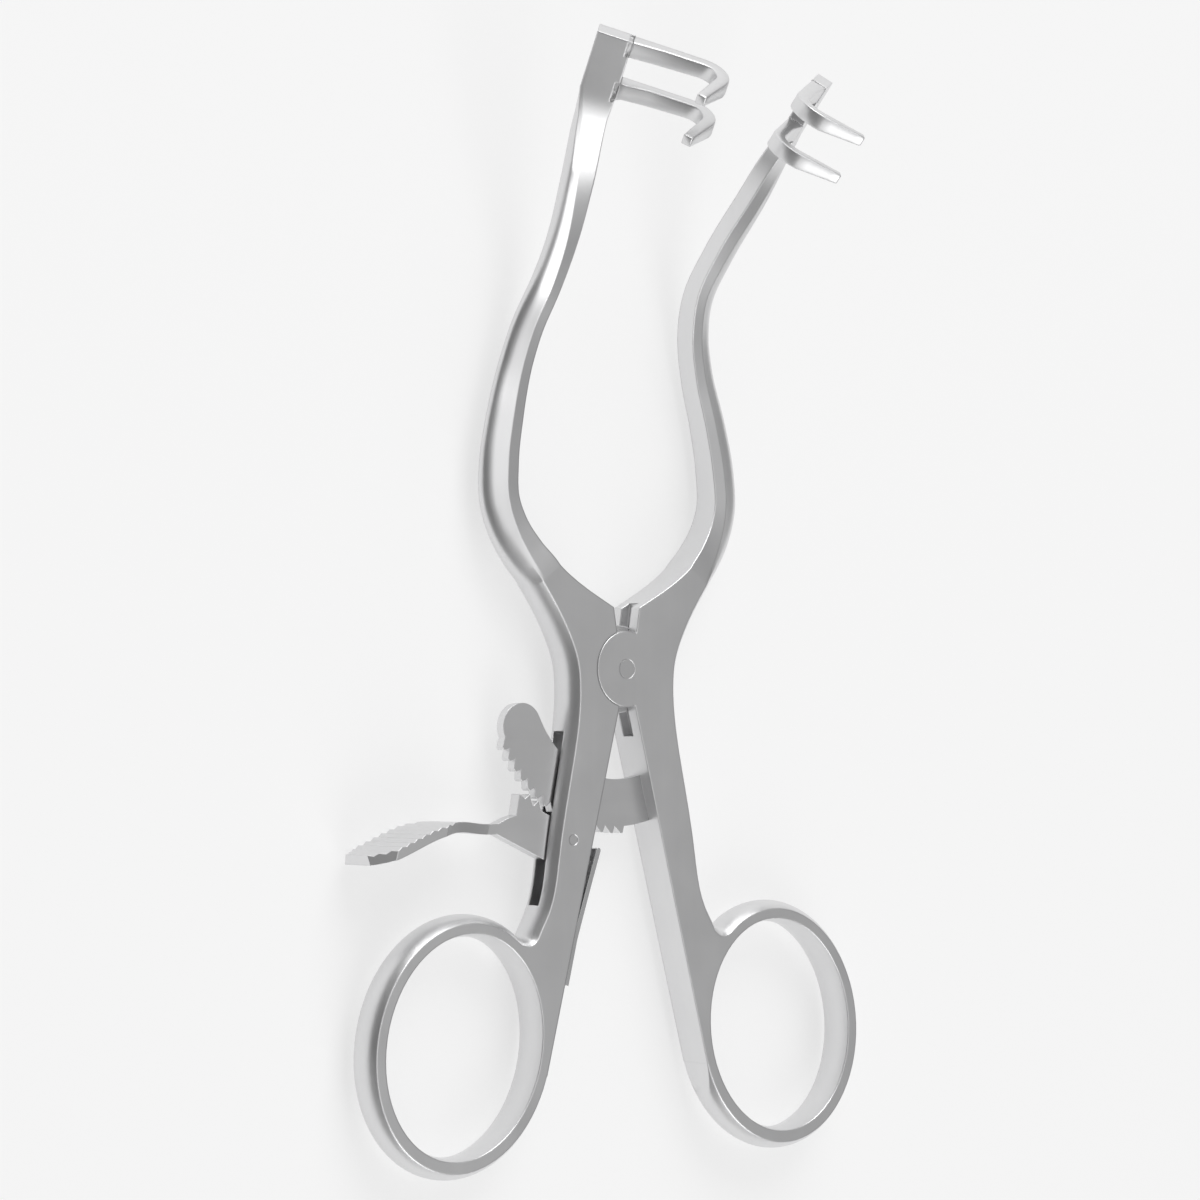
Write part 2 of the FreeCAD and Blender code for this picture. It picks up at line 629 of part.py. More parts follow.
def lever_plate():
    """Hub, body and nose of the lever in plan."""
    half = LEVER_THICKNESS / 2.0
    pin = Vector(LEVER_PIN_ACROSS, LEVER_PIN_ALONG, 0)
    nose = Vector(NOSE_RADIUS - NOSE_REACH + INNER_GAP, NOSE_ALONG, 0)
    hub = disc(pin, HUB_RADIUS, MIDDLE - half, MIDDLE + half)
    tip = disc(nose, NOSE_RADIUS, MIDDLE - half, MIDDLE + half)
    neck = plan(PAD_PATH[:2])
    under = NECK_THICKNESS / 2.0
    body = [
        Vector(pin.x + 0.4, pin.y + HUB_RADIUS - 0.3, 0),
        Vector(9.4, -19.3, 0),
        neck[0] + Vector(-0.9, under + 0.9, 0),
        neck[0] + Vector(0.5, under - 0.15, 0),
        neck[0] + Vector(0.5, -under - 0.1, 0),
        Vector(5.4, -23.9, 0),
        Vector(pin.x, pin.y - HUB_RADIUS - 0.6, 0),
        nose + Vector(0, -NOSE_RADIUS, 0),
        nose + Vector(0, NOSE_RADIUS, 0),
        Vector(pin.x - HUB_RADIUS + 0.3, pin.y - 0.3, 0),
    ]
    plate = slab(line_edges(body + body[:1]), MIDDLE - half, MIDDLE + half)
    return hub.fuse([tip, plate])


def pad():
    """Neck and thumb pad: an S curved strip, ridged on top, cut to its plan."""
    centre = Part.BSplineCurve()
    centre.interpolate(plan(PAD_PATH))
    half = NECK_THICKNESS / 2.0
    reach = centre.LastParameter - centre.FirstParameter
    ridge_start = 0.42
    steps = PAD_RIDGES * 2
    upper = []
    lower = []
    plain_steps = 6
    for index in range(plain_steps + 1):
        at = ridge_start * index / plain_steps
        upper.append((at, half))
        lower.append((at, half))
    for index in range(1, steps + 1):
        at = ridge_start + (1.0 - ridge_start) * index / steps
        upper.append((at, half - RIDGE_DEPTH * (index % 2)))
        lower.append((at, half))

    def point(pair, sign):
        value = centre.FirstParameter + pair[0] * reach
        tangent = centre.tangent(value)[0]
        normal = Vector(-tangent.y, tangent.x, 0)
        return centre.value(value) + normal * (sign * pair[1])

    top = [point(pair, 1.0) for pair in upper]
    bottom = [point(pair, -1.0) for pair in lower]
    split = plain_steps + 1
    edges = [curve_edge(top[:split])]
    edges.extend(line_edges(top[split - 1:] + [bottom[-1]]))
    edges.append(curve_edge(bottom[::-1]))
    edges.extend(line_edges([bottom[0], top[0]]))
    strip = slab(edges, MIDDLE - PAD_WIDTH / 2.0, MIDDLE + PAD_WIDTH / 2.0)
    thin = LEVER_THICKNESS / 2.0
    wide = PAD_WIDTH / 2.0
    end = PAD_PATH[-1][0] + 1.0
    corner = end - PAD_CHAMFER
    start = PAD_PATH[0][0] - 1.0
    reach_half = (PAD_SPREAD[0] + PAD_SPREAD[1]) / 2.0
    shape = [
        (start, thin), (PAD_SPREAD[0], thin), (reach_half, wide * 0.55), (PAD_SPREAD[1], wide),
        (corner, wide), (end, PAD_TIP_WIDTH / 2.0),
    ]
    front = [Vector(x, 0, MIDDLE + z) for x, z in shape]
    rear = [Vector(x, 0, MIDDLE - z) for x, z in shape[::-1]]
    outline = line_edges(front[:1] + [front[1]])
    outline.append(curve_edge(front[1:4]))
    outline.extend(line_edges(front[3:] + rear[:3]))
    outline.append(curve_edge(rear[2:5]))
    outline.extend(line_edges([rear[4], rear[5], front[0]]))
    face = Part.Face(Part.Wire(outline))
    face.translate(Vector(0, -60, 0))
    return strip.common(face.extrude(Vector(0, 60, 0)))


def release_lever():
    """Pawl, hub, nose and thumb pad in one piece, bored for its pin."""
    pin = Vector(LEVER_PIN_ACROSS, LEVER_PIN_ALONG, 0)
    solid = lever_plate().fuse([jaw(), pad()])
    return solid.cut(disc(pin, LEVER_PIN_RADIUS + PIN_RUNNING_GAP, -9, 20))


def leaf_spring():
    """Leaf that lies on the shank at the screw and stands off at its free end."""
    face = INNER_GAP
    half = SPRING_WIDTH / 2.0
    rest = SCREW_ALONG + 3.0
    near = [
        Vector(face, rest, 0),
        Vector(face - SPRING_STANDOFF * 0.3, (rest * 2 + SPRING_TOP) / 3.0, 0),
        Vector(face - SPRING_STANDOFF, SPRING_TOP, 0),
    ]
    shift = Vector(-SPRING_THICKNESS, 0, 0)
    far = [point + shift for point in near]
    crown = (near[-1] + far[-1]) * 0.5 + Vector(0, SPRING_THICKNESS / 2.0, 0)
    edges = [curve_edge(near), Part.Arc(near[-1], crown, far[-1]).toShape(), curve_edge(far[::-1])]
    foot = [far[0], Vector(face - SPRING_THICKNESS, SPRING_BOTTOM, 0), Vector(face, SPRING_BOTTOM, 0), near[0]]
    edges.extend(line_edges(foot))
    leaf = slab(edges, MIDDLE - half, MIDDLE + half)
    bore = Part.makeCylinder(SCREW_SHANK_RADIUS, 4, Vector(face - 2, SCREW_ALONG, MIDDLE), Vector(1, 0, 0))
    return leaf.cut(bore)


def screw_shank():
    """Threaded part of the spring screw, drawn plain."""
    start = Vector(INNER_GAP - SPRING_THICKNESS, SCREW_ALONG, MIDDLE)
    return Part.makeCylinder(SCREW_SHANK_RADIUS, SCREW_LENGTH + SPRING_THICKNESS, start, Vector(1, 0, 0))


def spring_screw():
    """Domed screw that holds the leaf spring."""
    seat = INNER_GAP - SPRING_THICKNESS
    outwards = Vector(-1, 0, 0)
    head = Part.makeCylinder(SCREW_HEAD_RADIUS, SCREW_HEAD_HEIGHT, Vector(seat, SCREW_ALONG, MIDDLE), outwards)
    rise = SCREW_HEAD_HEIGHT - SCREW_HEAD_RIM
    dome = (SCREW_HEAD_RADIUS ** 2 + rise ** 2) / (2.0 * rise)
    centre = Vector(seat - SCREW_HEAD_HEIGHT + dome, SCREW_ALONG, MIDDLE)
    return head.common(Part.makeSphere(dome, centre)).fuse(screw_shank())


def main():
    """Write one STEP file for each piece."""
    os.makedirs("parts", exist_ok=True)
    pieces = {
        "left_arm": as_left(left_arm()),
        "right_arm": as_right(right_arm()),
        "pivot_pin": pivot_pin(),
        "ratchet_bar": ratchet_bar(),
        "release_lever": as_left(release_lever()),
        "lever_pin": as_left(lever_pin()),
        "leaf_spring": as_left(leaf_spring()),
        "spring_screw": as_left(spring_screw()),
    }
    for name, shape in pieces.items():
        solid = shape.removeSplitter()
        print(name, solid.isValid(), len(solid.Solids), round(solid.Volume, 2), solid.BoundBox)
        solid.exportStep("parts/" + name + ".step")


main()
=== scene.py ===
"""Studio scene of a self retaining retractor, in satin stainless steel.

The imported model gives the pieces, their places and their joints. This script
gives each piece its finish, shows the arms with their bows, blades and prongs in
full shape, and sets the floor, the light and the camera of the photograph.
Lengths are in metres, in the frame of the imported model: +Y runs to the blades
and +Z is the front. The forged shapes are drawn in millimetres and then scaled.
"""

import json
import logging
import math
from dataclasses import dataclass
from enum import Enum
from typing import Mapping, Sequence

import bmesh
import bpy
from mathutils import Matrix, Vector

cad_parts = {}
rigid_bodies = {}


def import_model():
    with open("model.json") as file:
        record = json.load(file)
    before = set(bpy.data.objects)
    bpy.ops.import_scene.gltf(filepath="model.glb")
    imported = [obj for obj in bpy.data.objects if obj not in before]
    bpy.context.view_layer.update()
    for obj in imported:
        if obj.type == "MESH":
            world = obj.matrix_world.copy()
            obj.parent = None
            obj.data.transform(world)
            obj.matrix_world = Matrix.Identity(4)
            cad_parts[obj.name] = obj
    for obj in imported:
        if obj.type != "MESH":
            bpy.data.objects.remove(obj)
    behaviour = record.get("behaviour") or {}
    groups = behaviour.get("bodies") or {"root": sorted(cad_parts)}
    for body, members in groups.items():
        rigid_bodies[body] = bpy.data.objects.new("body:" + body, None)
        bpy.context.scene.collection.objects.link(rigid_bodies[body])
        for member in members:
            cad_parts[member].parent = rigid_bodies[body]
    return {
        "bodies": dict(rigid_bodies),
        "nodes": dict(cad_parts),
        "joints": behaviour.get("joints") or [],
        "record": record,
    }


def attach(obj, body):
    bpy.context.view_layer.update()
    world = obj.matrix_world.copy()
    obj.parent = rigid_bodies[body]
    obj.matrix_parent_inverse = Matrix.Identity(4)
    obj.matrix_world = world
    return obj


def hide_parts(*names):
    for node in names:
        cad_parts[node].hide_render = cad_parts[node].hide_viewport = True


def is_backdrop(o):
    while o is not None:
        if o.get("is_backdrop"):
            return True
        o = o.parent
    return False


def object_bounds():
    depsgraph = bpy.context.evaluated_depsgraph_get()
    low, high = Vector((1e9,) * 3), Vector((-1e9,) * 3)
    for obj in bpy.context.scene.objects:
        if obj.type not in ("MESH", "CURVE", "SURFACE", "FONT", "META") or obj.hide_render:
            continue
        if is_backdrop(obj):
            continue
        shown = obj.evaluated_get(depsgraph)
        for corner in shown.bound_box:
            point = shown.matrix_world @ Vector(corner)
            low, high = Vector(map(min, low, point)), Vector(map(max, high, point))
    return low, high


LOG = logging.getLogger("retractor")
MM = 0.001
WELD = 1e-7  # metres within which two points are one

# Handles, in degrees from the centre plane, and pitch of the prongs in millimetres.
HANDLE_OPENING = 14.4
PRONG_PITCH = 5.16


class Grain(Enum):
    """Direction of a pattern, as the share of its frequency along X, Y and Z."""

    ACROSS = (0.03, 1.0, 1.0)
    ALONG = (1.0, 0.03, 1.0)
    EVEN = (1.0, 1.0, 1.0)


@dataclass(frozen=True)
class SteelFinish:
    """Look of one steel surface.

    Attributes:
        name: material name.
        tone: base colour, linear.
        roughness: mean roughness.
        spread: how far the roughness wanders either side of the mean.
        grain: height of the blasted grain, in metres.
        line: height of the brushed lines, in metres.
        line_scale: brushed lines to the metre.
        brushed: direction of the brushed lines.
        edge_radius: softened edge, in metres.
        grain_scale: grains to the metre.
        cloud_scale: pale and dark clouds to the metre.
        smear_scale: brushed smears to the metre.
        cloud_share: share of the clouds in the tint; the smears have the rest.
        tint: darkest and palest tint, as shares of the tone.
        relief: strength of the grain and the lines.
        edge_samples: samples that soften an edge.
    """

    name: str
    tone: tuple[float, float, float]
    roughness: float
    spread: float
    grain: float
    line: float
    line_scale: float
    brushed: Grain
    edge_radius: float
    grain_scale: float = 9000.0
    cloud_scale: float = 150.0
    smear_scale: float = 700.0
    cloud_share: float = 0.6
    tint: tuple[float, float] = (0.93, 1.05)
    relief: float = 0.35
    edge_samples: int = 8


ARM_FINISH = SteelFinish(
    name="arm_steel",
    tone=(0.77, 0.77, 0.775),
    roughness=0.34,
    spread=0.05,
    grain=0.6e-6,
    line=0.5e-6,
    line_scale=5200.0,
    brushed=Grain.ALONG,
    edge_radius=0.26e-3,
)
BAR_FINISH = SteelFinish(
    name="bar_steel",
    tone=(0.77, 0.77, 0.775),
    roughness=0.32,
    spread=0.05,
    grain=0.5e-6,
    line=0.6e-6,
    line_scale=6000.0,
    brushed=Grain.ACROSS,
    edge_radius=0.09e-3,
)
LEVER_FINISH = SteelFinish(
    name="lever_steel",
    tone=(0.77, 0.77, 0.775),
    roughness=0.34,
    spread=0.05,
    grain=0.6e-6,
    line=0.5e-6,
    line_scale=5600.0,
    brushed=Grain.ACROSS,
    edge_radius=0.13e-3,
)
PIN_FINISH = SteelFinish(
    name="pin_steel",
    tone=(0.75, 0.75, 0.755),
    roughness=0.30,
    spread=0.04,
    grain=0.3e-6,
    line=0.3e-6,
    line_scale=7000.0,
    brushed=Grain.ALONG,
    edge_radius=0.03e-3,
)
SPRING_FINISH = SteelFinish(
    name="spring_steel",
    tone=(0.72, 0.72, 0.725),
    roughness=0.26,
    spread=0.04,
    grain=0.2e-6,
    line=0.5e-6,
    line_scale=7000.0,
    brushed=Grain.ALONG,
    edge_radius=0.08e-3,
)
SCREW_FINISH = SteelFinish(
    name="screw_steel",
    tone=(0.77, 0.77, 0.775),
    roughness=0.28,
    spread=0.04,
    grain=0.2e-6,
    line=0.3e-6,
    line_scale=7000.0,
    brushed=Grain.ACROSS,
    edge_radius=0.08e-3,
)

NODE_FINISHES: dict[str, SteelFinish] = {
    "left_arm": ARM_FINISH,
    "right_arm": ARM_FINISH,
    "ratchet_bar": BAR_FINISH,
    "release_lever": LEVER_FINISH,
    "pivot_pin": PIN_FINISH,
    "lever_pin": PIN_FINISH,
    "leaf_spring": SPRING_FINISH,
    "spring_screw": SCREW_FINISH,
}


def grey(level: float) -> tuple[float, float, float, float]:
    """Opaque grey of a linear level."""
    return (level, level, level, 1.0)


class Signal:
    """An output socket that does arithmetic by adding nodes."""

    def __init__(self, wiring: "Wiring", socket: bpy.types.NodeSocket) -> None:
        """Wrap a socket.

        Args:
            wiring: adds the nodes.
            socket: the output socket.
        """
        self.wiring = wiring
        self.socket = socket

    def __add__(self, other: "Signal | float") -> "Signal":
        """Sum."""
        return self.wiring.maths("ADD", self, other)

    def __radd__(self, other: float) -> "Signal":
        """Sum that starts with a number."""
        return self.wiring.maths("ADD", other, self)

    def __sub__(self, other: "Signal | float") -> "Signal":
        """Difference."""
        return self.wiring.maths("SUBTRACT", self, other)

    def __rsub__(self, other: float) -> "Signal":
        """Difference that starts with a number."""
        return self.wiring.maths("SUBTRACT", other, self)

    def __mul__(self, other: "Signal | float") -> "Signal":
        """Product."""
        return self.wiring.maths("MULTIPLY", self, other)

    def __rmul__(self, other: float) -> "Signal":
        """Product that starts with a number."""
        return self.wiring.maths("MULTIPLY", other, self)

    def at_least(self, low: "Signal | float") -> "Signal":
        """The larger of the two."""
        return self.wiring.maths("MAXIMUM", self, low)

    def at_most(self, high: "Signal | float") -> "Signal":
        """The smaller of the two."""
        return self.wiring.maths("MINIMUM", self, high)


class Outputs:
    """Outputs of one node, which come as signals."""

    def __init__(self, wiring: "Wiring", node: bpy.types.Node) -> None:
        """Keep the node.

        Args:
            wiring: adds the nodes.
            node: the node.
        """
        self.wiring = wiring
        self.node = node

    def __getitem__(self, name: str) -> Signal:
        """Output of that name."""
        return Signal(self.wiring, self.node.outputs[name])


@dataclass(frozen=True)
class GreyRamp:
    """Stops of a colour ramp in grey.

    Attributes:
        interpolation: Blender's name for the run between two stops.
        stops: place and linear level of each.
    """

    interpolation: str
    stops: tuple[tuple[float, float], ...]

    def fill(self, ramp: bpy.types.ColorRamp) -> None:
        """Set the stops.

        Args:
            ramp: the node's ramp.
        """
        ramp.interpolation = self.interpolation
        while len(ramp.elements) < len(self.stops):
            ramp.elements.new(0.5)
        for element, (place, level) in zip(ramp.elements, self.stops):
            element.position = place
            element.color = grey(level)


class Wiring:
    """Adds and joins the nodes of one tree."""

    def __init__(self, tree: bpy.types.NodeTree) -> None:
        """Empty the tree.

        Args:
            tree: the tree to fill.
        """
        self.tree = tree
        self.tree.nodes.clear()

    def add(
        self,
        kind: str,
        sockets: Mapping[str | int, Signal | float | Sequence[float]] | None = None,
        **settings: str | int | GreyRamp,
    ) -> Outputs:
        """Add a node.

        Args:
            kind: Blender's node type.
            sockets: value or link of each input, by its name or number.
            settings: what is set on the node before that, by its name.

        Returns:
            The node's outputs.
        """
        node = self.tree.nodes.new(kind)
        for name, value in settings.items():
            if isinstance(value, GreyRamp):
                value.fill(getattr(node, name))
            else:
                setattr(node, name, value)
        for key, value in (sockets or {}).items():
            if isinstance(value, Signal):
                self.tree.links.new(value.socket, node.inputs[key])
            else:
                node.inputs[key].default_value = value
        return Outputs(self, node)

    def maths(self, operation: str, *operands: Signal | float) -> Signal:
        """Add a math node.

        Args:
            operation: Blender's name for the operation.
            operands: its inputs in order.

        Returns:
            The result.
        """
        return self.add("ShaderNodeMath", dict(enumerate(operands)), operation=operation)["Value"]


class SteelMaterial:
    """Builds one steel material from its finish."""

    NOISE_MEAN = 0.5
    ROUGHNESS_LIMITS = (0.05, 0.9)
    LINE_OCTAVES = 2.0
    OCTAVES = 3.0

    def __init__(self, finish: SteelFinish) -> None:
        """Start an empty material.

        Args:
            finish: the look to build.
        """
        self.finish = finish
        self.material = bpy.data.materials.new(finish.name)
        self.material.use_nodes = True
        self.wiring = Wiring(self.material.node_tree)

    def _noise(self, scale: float, grain: Grain, octaves: float = OCTAVES) -> Signal:
        """Noise on object coordinates.

        Args:
            scale: cycles to the metre.
            grain: direction of the pattern.
            octaves: detail of the noise.

        Returns:
            The noise value, 0 to 1.
        """
        place = self.wiring.add("ShaderNodeTexCoord")["Object"]
        scales = tuple(scale * share for share in grain.value)
        scaled = self.wiring.add("ShaderNodeMapping", {"Vector": place, "Scale": scales})["Vector"]
        sockets = {"Vector": scaled, "Scale": 1.0, "Detail": octaves}
        return self.wiring.add("ShaderNodeTexNoise", sockets)["Fac"]

    def _tinted(self, amount: Signal) -> Signal:
        """Darken and lighten the tone a little.

        Args:
            amount: place between the darkest and the palest tint, 0 to 1.

        Returns:
            The colour.
        """
        dark, pale = (
            (*(min(1.0, channel * share) for channel in self.finish.tone), 1.0)
            for share in self.finish.tint
        )
        sockets = {"Factor": amount, "A": dark, "B": pale}
        return self.wiring.add("ShaderNodeMix", sockets, data_type="RGBA")["Result"]

    def build(self) -> bpy.types.Material:
        """Wire the shader.

        Returns:
            The finished material.
        """
        finish = self.finish
        lines = self._noise(finish.line_scale, finish.brushed, self.LINE_OCTAVES)
        grain = self._noise(finish.grain_scale, Grain.EVEN)
        cloud = self._noise(finish.cloud_scale, Grain.EVEN)
        smear = self._noise(finish.smear_scale, finish.brushed)
        # The clouds count twice, so the mean that is taken off is that of three noises.
        wander = 2.0 * cloud + lines - 3.0 * self.NOISE_MEAN
        least, most = self.ROUGHNESS_LIMITS
        roughness = (wander * finish.spread + finish.roughness).at_least(least).at_most(most)
        amount = cloud * finish.cloud_share + smear * (1.0 - finish.cloud_share)
        edge = self.wiring.add(
            "ShaderNodeBevel", {"Radius": finish.edge_radius}, samples=finish.edge_samples
        )
        bump = self.wiring.add(
            "ShaderNodeBump",
            {
                "Strength": finish.relief,
                "Distance": 1.0,
                "Height": lines * finish.line + grain * finish.grain,
                "Normal": edge["Normal"],
            },
        )
        steel = self.wiring.add(
            "ShaderNodeBsdfPrincipled",
            {
                "Base Color": self._tinted(amount.at_least(0.0).at_most(1.0)),
                "Metallic": 1.0,
                "Roughness": roughness,
                "Normal": bump["Normal"],
            },
        )
        self.wiring.add("ShaderNodeOutputMaterial", {"Surface": steel["BSDF"]})
        return self.material


@dataclass(frozen=True)
class PhotoCamera:
    """Camera that matches the photograph.

    Attributes:
        azimuth: turn to the left of the front, in radians.
        elevation: tilt towards the blades, in radians.
        roll: turn about the line of sight, in radians.
        focal: focal length in picture widths.
        shift_right: picture centre to the right of the pivot, in metres.
        shift_up: picture centre above the pivot, in metres.
        distance: along the line of sight, in metres.
        target: the pivot in the front face, in metres.
        sensor: width of the sensor, in millimetres.
        nearest: closest that the camera sees, in metres.
        farthest: furthest that the camera sees, in metres.
    """

    azimuth: float = 0.68075
    elevation: float = -0.028719
    roll: float = 0.0066718
    focal: float = 3.23778
    shift_right: float = -0.0031579
    shift_up: float = 0.0080030
    distance: float = 0.4506983
    target: tuple[float, float, float] = (0.0, 0.0, 0.0048)
    sensor: float = 36.0
    nearest: float = 0.01
    farthest: float = 20.0

    def axes(self) -> tuple[Vector, Vector, Vector]:
        """Camera axes in the object's frame.

        Returns:
            Right, up and towards the camera.
        """
        turn, tilt = self.azimuth, self.elevation
        level = math.cos(tilt)
        normal = Vector((-math.sin(turn) * level, math.sin(tilt), math.cos(turn) * level))
        right = Vector((math.cos(turn), 0.0, math.sin(turn)))
        up = normal.cross(right)
        cosine, sine = math.cos(self.roll), math.sin(self.roll)
        return right * cosine - up * sine, right * sine + up * cosine, normal

    def build(self) -> bpy.types.Object:
        """Make the camera and use it.

        Returns:
            The camera object.
        """
        right, up, normal = self.axes()
        data = bpy.data.cameras.new("photo_camera")
        data.sensor_fit = "HORIZONTAL"
        data.sensor_width = self.sensor
        data.lens = self.sensor * self.focal
        data.clip_start = self.nearest
        data.clip_end = self.farthest
        data.dof.use_dof = False
        camera = bpy.data.objects.new("photo_camera", data)
        place = Vector(self.target) + right * self.shift_right + up * self.shift_up
        place += normal * self.distance
        turn = Matrix((right, up, normal)).transposed().to_4x4()
        camera.matrix_world = Matrix.Translation(place) @ turn
        bpy.context.scene.collection.objects.link(camera)
        bpy.context.scene.camera = camera
        return camera


@dataclass(frozen=True)
class SoftBox:
    """One square studio light.

    Attributes:
        name: light name.
        place: position in metres.
        size: side in metres.
        power: watts.
        aim: point that it is turned to, in metres.
    """

    name: str
    place: tuple[float, float, float]
    size: float
    power: float
    aim: tuple[float, float, float] = (0.0, 0.005, 0.0)

    def build(self) -> bpy.types.Object:
        """Make the light, turned to the object.

        Returns:
            The light object.
        """
        data = bpy.data.lights.new(self.name, "AREA")
        data.shape = "SQUARE"
        data.size = self.size
        data.energy = self.power
        light = bpy.data.objects.new(self.name, data)
        place = Vector(self.place)
        turn = (Vector(self.aim) - place).to_track_quat("-Z", "Y").to_matrix().to_4x4()
        light.matrix_world = Matrix.Translation(place) @ turn
        bpy.context.scene.collection.objects.link(light)
        return light


@dataclass(frozen=True)
class Studio:
    """Pale floor, soft boxes and room light.

    Attributes:
        boxes: the lights.
        room: brightness of the room from its left side, -1, to its right side, 1.
        room_strength: brightness where the room is 1.
        horizon: brightness low down behind the handles.
        rise: slope and start of the room's growth from the horizon up.
        reach: slope and start of the room's growth from the handles to the blades.
        backdrop: brightness of the room that the camera sees past the floor.
        floor_tone: floor colour, linear.
        floor_roughness: roughness of the floor.
        floor_glow: share of plain white in the floor that the camera and the metal see.
        floor_size: half side of the floor in metres.
    """

    boxes: tuple[SoftBox, ...]
    room: tuple[tuple[float, float], ...]
    room_strength: float
    horizon: float
    rise: tuple[float, float]
    reach: tuple[float, float]
    backdrop: float
    floor_tone: float
    floor_roughness: float
    floor_glow: float
    floor_size: float

    @staticmethod
    def _share(side: Signal | float) -> Signal | float:
        """Place from 0 to 1 of a side from -1 to 1."""
        return side * 0.5 + 0.5

    def _paper(self) -> bpy.types.Material:
        """Matt paper, part of which the camera and the metal see as plain white.

        Returns:
            The floor's material.
        """
        material = bpy.data.materials.new("floor_paper")
        material.use_nodes = True
        wiring = Wiring(material.node_tree)
        paper = wiring.add(
            "ShaderNodeBsdfPrincipled",
            {
                "Base Color": grey(self.floor_tone),
                "Roughness": self.floor_roughness,
                "Specular IOR Level": 0.0,
            },
        )
        glow = wiring.add("ShaderNodeEmission")
        ray = wiring.add("ShaderNodeLightPath")
        seen = (ray["Is Camera Ray"] + ray["Is Glossy Ray"]) * self.floor_glow
        mix = wiring.add(
            "ShaderNodeMixShader", {"Fac": seen, 1: paper["BSDF"], 2: glow["Emission"]}
        )
        wiring.add("ShaderNodeOutputMaterial", {"Surface": mix["Shader"]})
        return material

    def _floor(self, height: float) -> bpy.types.Object:
        """Make the floor.

        Args:
            height: its level in metres.

        Returns:
            The floor object.
        """
        mesh = bpy.data.meshes.new("studio_floor")
        form = bmesh.new()
        bmesh.ops.create_grid(form, x_segments=1, y_segments=1, size=self.floor_size)
        bmesh.ops.translate(form, verts=form.verts, vec=(0.0, 0.0, height))
        form.to_mesh(mesh)
        form.free()
        floor = bpy.data.objects.new("studio_floor", mesh)
        bpy.context.scene.collection.objects.link(floor)
        mesh.materials.append(self._paper())
        return floor

    def _room(self) -> None:
        """Light the room with a long pale strip overhead, from the handles to the blades."""
        world = bpy.data.worlds.new("studio_room")
        world.use_nodes = True
        wiring = Wiring(world.node_tree)
        direction = wiring.add("ShaderNodeTexCoord")["Generated"]
        sides = wiring.add("ShaderNodeSeparateXYZ", {"Vector": direction})
        strip = GreyRamp("EASE", tuple((self._share(side), level) for side, level in self.room))
        overhead = wiring.add(
            "ShaderNodeValToRGB", {"Fac": self._share(sides["X"])}, color_ramp=strip
        )
        up = sides["Z"] * self.rise[0] + self.rise[1]
        near = sides["Y"] * self.reach[0] + self.reach[1]
        sockets = {
            "Factor": up.at_least(near).at_least(0.0).at_most(1.0),
            "A": grey(self.horizon),
            "B": overhead["Color"],
        }
        tone = wiring.add("ShaderNodeMix", sockets, data_type="RGBA")["Result"]
        light = wiring.add(
            "ShaderNodeBackground", {"Color": tone, "Strength": self.room_strength}
        )
        backdrop = wiring.add("ShaderNodeBackground", {"Color": grey(self.backdrop)})
        seen = wiring.add("ShaderNodeLightPath")["Is Camera Ray"]
        mix = wiring.add(
            "ShaderNodeMixShader",
            {"Fac": seen, 1: light["Background"], 2: backdrop["Background"]},
        )
        wiring.add("ShaderNodeOutputWorld", {"Surface": mix["Shader"]})
        bpy.context.scene.world = world

    def build(self, height: float) -> None:
        """Set the whole studio up.

        Args:
            height: floor level in metres.
        """
        self._floor(height)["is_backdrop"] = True
        self._room()
        for box in self.boxes:
            box.build()
            LOG.info("%s: %.1f W", box.name, box.power)
        bpy.context.scene.view_settings.view_transform = "Standard"


STUDIO = Studio(
    boxes=(
        SoftBox("near_box", (0.0, -0.85, 0.60), 0.8, 2.2),
        SoftBox("far_box", (0.0, 0.85, 0.60), 0.7, 3.8),
    ),
    room=(
        (-1.0, 0.16),
        (-0.72, 0.16),
        (-0.36, 0.30),
        (-0.16, 1.0),
        (0.10, 1.0),
        (0.46, 0.40),
        (1.0, 0.26),
    ),
    room_strength=1.1,
    horizon=0.28,
    rise=(2.4, -0.35),
    reach=(1.6, 0.9),
    backdrop=0.88,
    floor_tone=0.92,
    floor_roughness=0.95,
    floor_glow=0.6,
    floor_size=3.0,
)


@dataclass(frozen=True)
class Waypoint:
    """One place on the middle line of an arm, in millimetres in the closed arm's own frame.

    Attributes:
        across: from the centre plane.
        along: from the pivot towards the blade.
        height: middle of the section above the back face.
        width: inner wall to the rounded side.
        depth: front to back.
        bulge: rounded side beyond the width.
        bevel: share of the full front and back bevels.
        roll: turn of the section towards the front, in degrees.
    """

    across: float
    along: float
    height: float
    width: float
    depth: float
    bulge: float
    bevel: float
    roll: float

    def place(self) -> Vector:
        """Middle of the section."""
        return Vector((self.across, self.along, self.height))

    def sizes(self) -> tuple[float, ...]:
        """Width, depth, bulge, bevel and roll."""
        return (self.width, self.depth, self.bulge, self.bevel, self.roll)

    def towards(self, other: "Waypoint", share: float, place: Vector) -> "Waypoint":
        """Section between two waypoints.

        Args:
            other: the next waypoint.
            share: of the way to it.
            place: middle of the section.

        Returns:
            A waypoint there, with sizes between the two.
        """
        pairs = zip(self.sizes(), other.sizes())
        return Waypoint(*place, *(here + (there - here) * share for here, there in pairs))


